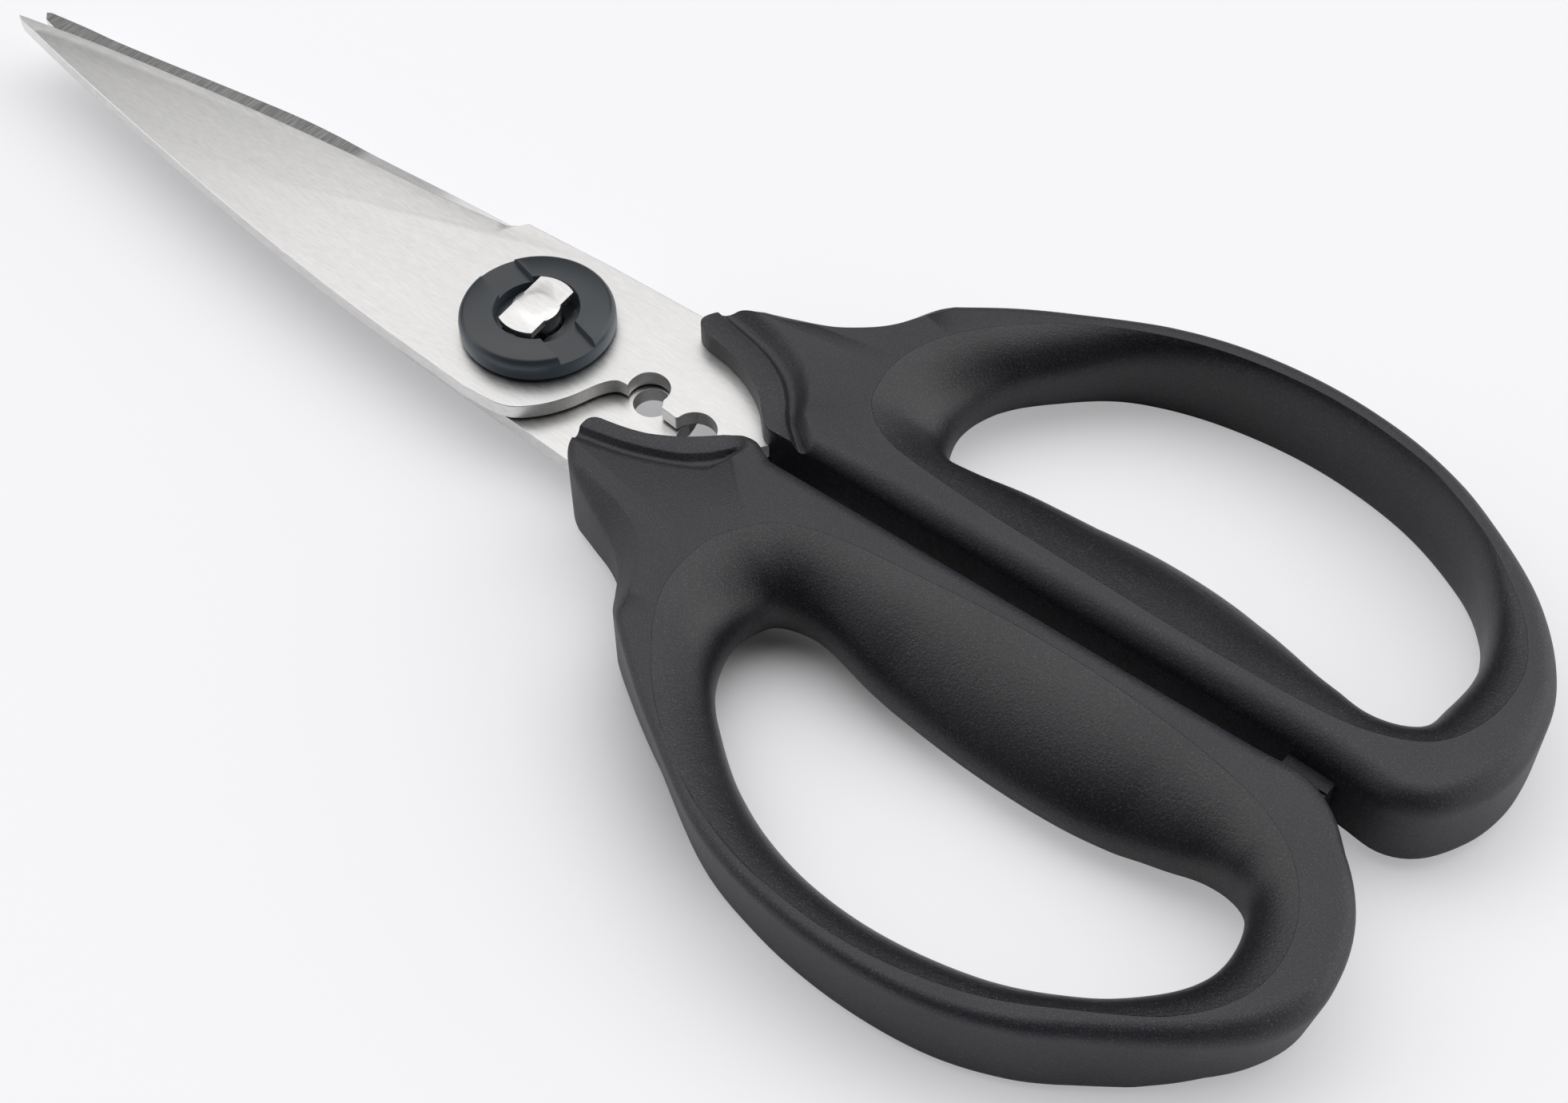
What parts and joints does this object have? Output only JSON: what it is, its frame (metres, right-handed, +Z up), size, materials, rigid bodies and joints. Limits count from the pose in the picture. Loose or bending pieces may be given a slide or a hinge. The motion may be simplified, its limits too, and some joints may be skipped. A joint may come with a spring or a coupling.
{
  "type": "herb scissors",
  "caption": "Closed herb scissors: slim steel blades with notches behind a keyed pivot ring, and looped dark plastic handles with soft liners.",
  "frame": {"origin": "middle of the bounding box's bottom face, on the table that the closed scissors lie on", "axes": "+X from the blade tips to the finger loops, +Y towards the upper blade's handle, +Z up through the pivot"},
  "size_m": [0.2148, 0.092, 0.012],
  "materials": {
    "upper_blade": "satin, brushed across the blade",
    "lower_blade": "satin, brushed across the blade",
    "pivot_ring": "smooth, slightly glossy",
    "pivot_stud": "turned",
    "upper_handle": "fine grain",
    "lower_handle": "fine grain",
    "upper_liner": "soft, grainy",
    "lower_liner": "soft, grainy",
    "upper_stop": "plain",
    "lower_stop": "plain"
  },
  "bodies": {
    "lower_half": {"lower_blade": "lower_blade", "lower_handle": "lower_handle", "lower_liner": "lower_liner", "pivot_stud": "pivot_stud", "lower_stop": "lower_stop"},
    "upper_half": {"upper_blade": "upper_blade", "upper_handle": "upper_handle", "upper_liner": "upper_liner", "pivot_ring": "pivot_ring", "upper_stop": "upper_stop"}
  },
  "joints": [
    {"name": "pivot_hinge", "type": "hinge", "parent": "lower_half", "child": "upper_half", "pos_m": [-0.01344, -0.00257, 0.006], "axis": [0, 0, 1], "range_deg": [0, 90]}
  ]
}
